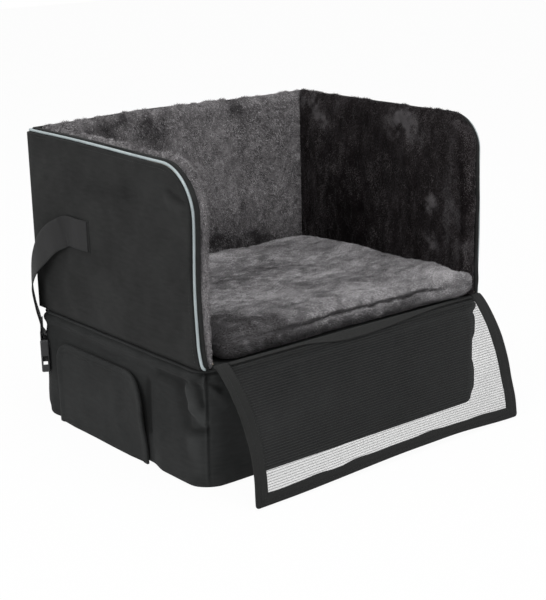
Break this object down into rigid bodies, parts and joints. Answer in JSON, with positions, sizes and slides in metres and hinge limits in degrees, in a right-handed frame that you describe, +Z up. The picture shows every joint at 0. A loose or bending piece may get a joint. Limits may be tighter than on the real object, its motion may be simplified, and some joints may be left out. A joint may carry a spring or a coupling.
{
  "type": "dog car seat",
  "caption": "Raised dog seat for a car: padded fabric base, tall plush-lined side and back walls, loose cushion, net apron, side flaps and buckled straps.",
  "frame": {"origin": "middle of the base's flat underside, where the seat rests", "axes": "+X to the seat's right as seen from its open front, +Y to its back wall, +Z up; -Z is the rest face's outward normal"},
  "size_m": [0.495, 0.4527, 0.3797],
  "materials": {
    "cover_fabric": "woven polyester, matt",
    "plush_fabric": "brushed short plush",
    "piping_trim": "light reflective piping",
    "webbing": "woven webbing",
    "foam_filling": "open-cell foam",
    "stiffener_board": "padded stiff board",
    "net_fabric": "ribbed open net",
    "grip_fabric": "hook and loop",
    "buckle_plastic": "moulded, satin"
  },
  "bodies": {
    "shell": {"base_cover": "cover_fabric", "base_board": "stiffener_board", "base_foam": "foam_filling", "base_deck": "cover_fabric", "base_rim_binding": "cover_fabric", "apron_seam_strip": "cover_fabric", "left_wall_cover": "cover_fabric", "left_wall_board": "stiffener_board", "left_wall_plush": "plush_fabric", "left_wall_piping": "piping_trim", "right_wall_cover": "cover_fabric", "right_wall_board": "stiffener_board", "right_wall_plush": "plush_fabric", "right_wall_piping": "piping_trim", "back_wall_cover": "cover_fabric", "back_wall_board": "stiffener_board", "back_wall_plush": "plush_fabric", "back_wall_piping": "piping_trim", "left_loop_strip": "grip_fabric", "right_loop_strip": "grip_fabric", "left_strap_tab": "webbing", "right_strap_tab": "webbing"},
    "cushion": {"cushion_cover": "plush_fabric", "cushion_foam": "foam_filling", "cushion_base_panel": "cover_fabric"},
    "apron": {"apron_net": "net_fabric", "apron_binding": "cover_fabric", "apron_header": "cover_fabric"},
    "left_flap": {"left_flap_panel": "cover_fabric", "left_flap_binding": "cover_fabric", "left_hook_strip": "grip_fabric"},
    "right_flap": {"right_flap_panel": "cover_fabric", "right_flap_binding": "cover_fabric", "right_hook_strip": "grip_fabric"},
    "left_strap": {"left_strap_webbing": "webbing", "left_buckle_socket": "buckle_plastic"},
    "right_strap": {"right_strap_webbing": "webbing", "right_buckle_plug": "buckle_plastic"}
  },
  "joints": [
    {"name": "cushion_lift", "type": "slide", "parent": "shell", "child": "cushion", "axis": [0, 0, 1], "range_m": [0, 0.24]},
    {"name": "apron_hinge", "type": "hinge", "parent": "shell", "child": "apron", "pos_m": [0, -0.1845, 0.146], "axis": [-1, 0, 0], "range_deg": [-25, 120]},
    {"name": "left_flap_hinge", "type": "hinge", "parent": "shell", "child": "left_flap", "pos_m": [-0.2284, 0.0375, 0.0015], "axis": [0, -1, 0], "range_deg": [0, 90]},
    {"name": "right_flap_hinge", "type": "hinge", "parent": "shell", "child": "right_flap", "pos_m": [0.2284, 0.0375, 0.0015], "axis": [0, 1, 0], "range_deg": [0, 90]},
    {"name": "left_strap_swing", "type": "hinge", "parent": "shell", "child": "left_strap", "pos_m": [-0.2273, 0.0853, 0.261], "axis": [0, 0, 1], "range_deg": [0, 120]},
    {"name": "right_strap_swing", "type": "hinge", "parent": "shell", "child": "right_strap", "pos_m": [0.2273, 0.0853, 0.261], "axis": [0, 0, -1], "range_deg": [0, 120]}
  ]
}
